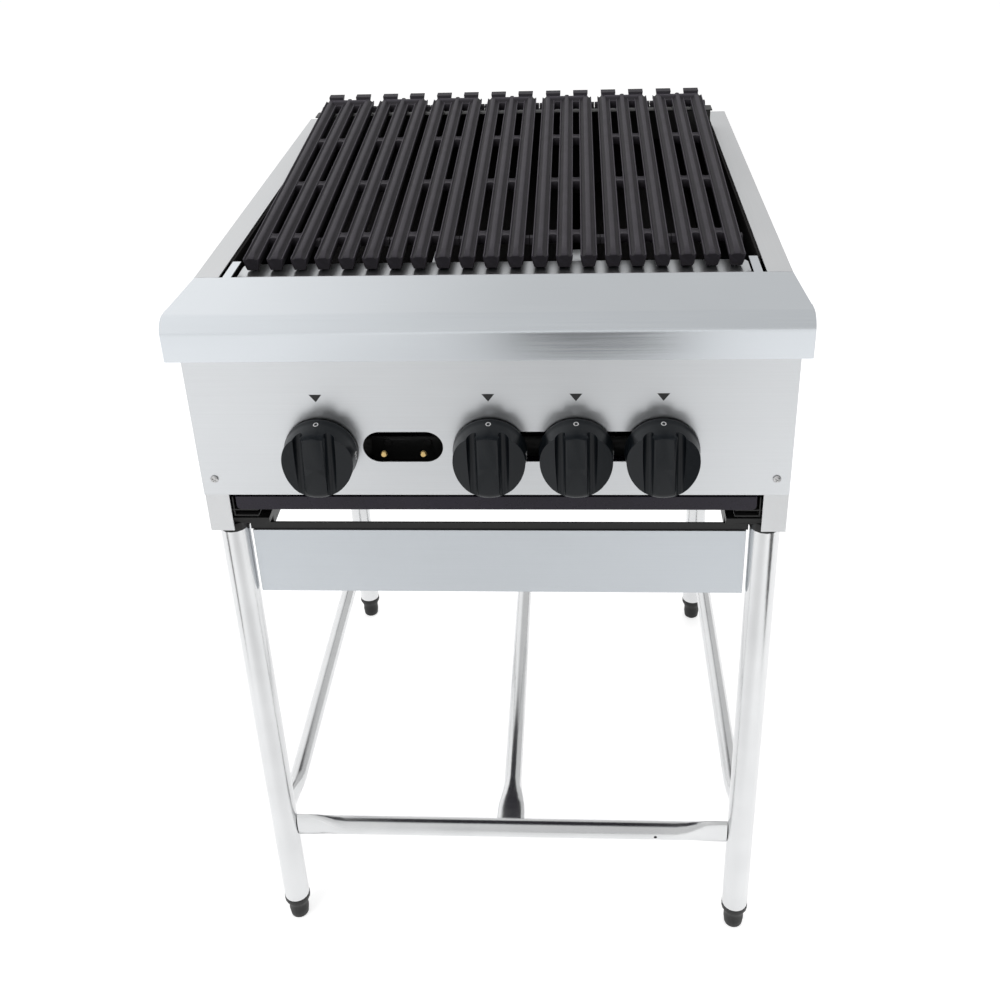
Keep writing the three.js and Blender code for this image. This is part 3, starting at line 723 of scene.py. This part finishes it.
# %% [markdown]
# Small screws are turned the same way. Those at the panel's lower corners have a cross recess.
# Two brass ones go with the gas pipe's bracket and show through the left lighting slot. They are
# placed from the front of the bracket's box, which is its foot, so they stand clear of its plate.
# %% Screws


def recessed_screw():
    profile = [(0, -2.5), (2.0, -2.4), (3.3, -1.9), (4.1, -1.0), (4.2, -0.5), (4.2, -0.3)]
    profile += [(2.0, -0.3), (2.0, 12), (0, 12)]
    screw = turned("corner_screw", profile)
    arm = 2.5 * MM
    half = 0.5 * MM
    bar = [(-arm, -half), (arm, -half), (arm, half), (-arm, half)]
    for lean in (35, 125):
        recess = prism("recess", bar, -5 * MM, -1.3 * MM, "y")
        recess.rotation_euler.y = math.radians(lean)
        combine(screw, recess, "DIFFERENCE")
    return screw.data


screw_shape = recessed_screw()
for side in ("left", "right"):
    node = "corner_screw_" + side
    low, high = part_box(node)
    piece = bpy.data.objects.new(node + "_turned", screw_shape)
    piece.location = ((low.x + high.x) / 2, panel_face, (low.z + high.z) / 2)
    place(piece, zinc, home[node], slots[node], 0.0, [node])

low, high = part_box("manifold_bracket")
bracket_screw = [(0, -5.2), (2.4, -5.0), (3.4, -4.0), (3.6, -2.6)]
bracket_screw += [(1.9, -2.4), (1.9, 0.4), (0, 0.4)]
SCREW_SPREAD = 20 * MM
SCREW_DROP = 1.5 * MM
for side in (-1, 1):
    piece = turned("bracket_screw_%d" % side, bracket_screw)
    piece.location = ((low.x + high.x) / 2 + side * SCREW_SPREAD, low.y, high.z - SCREW_DROP)
    place(piece, brass, home["manifold_bracket"], "brass")
print("bracket and corner screws ready")

# %% [markdown]
# White ink on the skirt says where the knob stands: a plain nought at the top and three short
# bars a quarter turn on. The marks are thin plates that follow the round skirt, and they ride
# on the knob. The panel carries a small black triangle over each knob, which stays where it is.
# %% Marks on the knobs and the panel
INK = 0.12 * MM
NOUGHT_DEPTH = -11.4 * MM
TICK_DEPTH = -10.4 * MM
TICK_PITCH = 3.2 * MM
POINTER_RISE = 55.8 * MM
POINTER_HALF = 6.3 * MM
POINTER_HEIGHT = 8.4 * MM


def skirt_radius(depth):
    part = (depth + 6.2 * MM) / (-13.8 * MM)
    return 37.0 * MM - 0.8 * MM * min(1.0, max(0.0, part))


def curved_patch(name, outer, inner, top_angle):
    """A ring of ink between two outlines of (around, depth), wrapped on the skirt."""
    count = len(outer)
    corners = []
    for lift in (0.0, INK):
        for outline in (outer, inner):
            for around, depth in outline:
                radius = skirt_radius(depth)
                angle = top_angle - around / radius
                away = radius + lift
                corners.append((away * math.cos(angle), depth, away * math.sin(angle)))
    faces = []
    for i in range(count):
        j = (i + 1) % count
        faces.append((2 * count + i, 2 * count + j, 3 * count + j, 3 * count + i))
        faces.append((i, j, count + j, count + i))
        faces.append((i, j, 2 * count + j, 2 * count + i))
        faces.append((count + i, count + j, 3 * count + j, 3 * count + i))
    return outward(piece_from(name, corners, faces))


for index, centre in enumerate(knob_centres, 1):
    body = home["knob_%d" % index]
    outer = oval(0, NOUGHT_DEPTH, 2.6 * MM, 3.4 * MM)
    inner = oval(0, NOUGHT_DEPTH, 1.7 * MM, 2.4 * MM)
    nought = curved_patch("nought_%d" % index, outer, inner, math.pi / 2)
    nought.location = centre
    place(nought, white_ink, body, "bakelite")
    for bar in range(3):
        around = (bar - 1) * TICK_PITCH
        middle = oval(around, TICK_DEPTH, 0.5 * MM, 0.4 * MM, 12)
        rim = oval(around, TICK_DEPTH, 1.0 * MM, (3.4 - 0.9 * bar) * MM, 12)
        tick = curved_patch("tick_%d_%d" % (index, bar + 1), rim, middle, 0.0)
        tick.location = centre
        place(tick, white_ink, body, "bakelite")
    tip = centre.z + POINTER_RISE
    base = tip + POINTER_HEIGHT
    corners = [(centre.x - POINTER_HALF, base), (centre.x + POINTER_HALF, base), (centre.x, tip)]
    pointer = prism("pointer_%d" % index, corners, panel_face - INK, panel_face + INK, "y")
    place(pointer, black_ink, home["front_panel"], "brushed_stainless")
print("marks on", len(knob_centres), "knobs")

# %% [markdown]
# The studio is a white floor and a white world. A world as white as the camera sees it would
# light the grill too strongly. So Light Path gives white to the camera and to rays through glass,
# and a softer level to the light that falls on the grill. Bright metal mirrors a world that is
# brighter on the left, and a floor that is darker in front of the grill. Much of the floor's
# white is its own and the rest is lit, so the soft shadow under the stand stays.
# %% Floor, world and lamps
floor_finish = Finish("studio_floor")
floor_finish.paint(base_color=shade(0.8), roughness=1.0)
seen = floor_finish.node("LightPath", output="Is Camera Ray")
mirrored = floor_finish.node("LightPath", output="Is Glossy Ray")
through = floor_finish.node("LightPath", output="Is Transmission Ray")
shown = seen.math("MAXIMUM", seen, through)
floor_finish.shader.inputs["Emission Color"].default_value = (1, 1, 1, 1)


def patch(centre, radii, inside, outside):
    """A level that rises from the middle of an ellipse on the floor to its surroundings."""
    place_on_floor = floor_finish.node("TexCoord", output="Object")
    parts = floor_finish.node("SeparateXYZ", {}, {0: place_on_floor})
    x, y = parts, Value(floor_finish, parts.socket.node.outputs["Y"])
    x = (x - centre[0]) * (1 / radii[0])
    y = (y - centre[1]) * (1 / radii[1])
    ends = {"From Min": 0.15, "From Max": 1.5, "To Min": inside, "To Max": outside}
    return floor_finish.node("MapRange", {}, {"Value": x * x + y * y, **ends})


room_shadow = patch((-0.1, -1.8), (0.55, 1.2), 0.32, 0.68)
floor_finish.feed(
    floor_finish.shader.inputs["Emission Strength"], shown * 0.62 + mirrored * room_shadow
)

ROOM = 12.0
floor = piece_from(
    "studio_floor",
    [(-ROOM, -ROOM, 0), (ROOM, -ROOM, 0), (ROOM, ROOM, 0), (-ROOM, ROOM, 0)],
    [(0, 1, 2, 3)],
)
floor.data.materials.append(floor_finish.material)
bpy.context.scene.collection.objects.link(floor)
floor.location.z = -0.2 * MM

world = bpy.data.worlds.new("white_studio")
world.use_nodes = True
bpy.context.scene.world = world
sky = Tree(world.node_tree)
camera_ray = sky.node("LightPath", output="Is Camera Ray")
glossy_ray = sky.node("LightPath", output="Is Glossy Ray")
clear_ray = sky.node("LightPath", output="Is Transmission Ray")
background = world.node_tree.nodes["Background"]
background.inputs["Color"].default_value = (1, 1, 1, 1)
white_ray = camera_ray.math("MAXIMUM", camera_ray, clear_ray)
direction = sky.node("TexCoord", output="Generated")
sideways = sky.node("SeparateXYZ", {}, {0: direction})
bright_side = {"From Min": 0.0, "From Max": -0.35, "To Min": 0.28, "To Max": 0.75}
smooth = {"interpolation_type": "SMOOTHSTEP"}
mirror_level = sky.node("MapRange", smooth, {"Value": sideways, **bright_side})
sky.feed(background.inputs["Strength"], 0.48 + white_ray * 0.52 + glossy_ray * mirror_level)


def lamp(name, place_at, aim, size, watts):
    light = bpy.data.lights.new(name, "AREA")
    light.size = size
    light.energy = watts
    holder = bpy.data.objects.new(name, light)
    holder.location = place_at
    holder.rotation_euler = (Vector(aim) - Vector(place_at)).to_track_quat("-Z", "Y").to_euler()
    holder.visible_glossy = False
    bpy.context.scene.collection.objects.link(holder)
    return holder


lamp("key", (-1.4, -1.6, 2.6), (0, 0, 0.7), 1.4, 24)
lamp("fill", (1.8, -1.4, 1.8), (0, 0, 0.6), 1.6, 9)
lamp("back", (0.3, 1.6, 2.4), (0, 0, 0.8), 1.6, 14)


def dark_card(name, corners):
    """A black card near the grill. Only shiny pieces see it, as a dark line along them."""
    card = piece_from(name, corners, [(0, 1, 2, 3)])
    card.data.materials.append(plain(name, 0.02, 1.0))
    bpy.context.scene.collection.objects.link(card)
    card.visible_camera = False
    card.visible_diffuse = False
    card.visible_shadow = False
    card.visible_transmission = False


def upright_card(name, x0, y0, x1, y1, top):
    dark_card(name, [(x0, y0, 0.0), (x1, y1, 0.0), (x1, y1, top), (x0, y0, top)])


dark_card("card_cook", [(-0.08, -2, 0.01), (0.34, -2, 0.01), (0.4, -4, 0.01), (-0.2, -4, 0.01)])
upright_card("card_right", 0.75, -0.95, 0.82, -0.55, 1.1)
upright_card("card_left", -0.85, -0.75, -0.80, -0.55, 1.1)
print("studio ready")
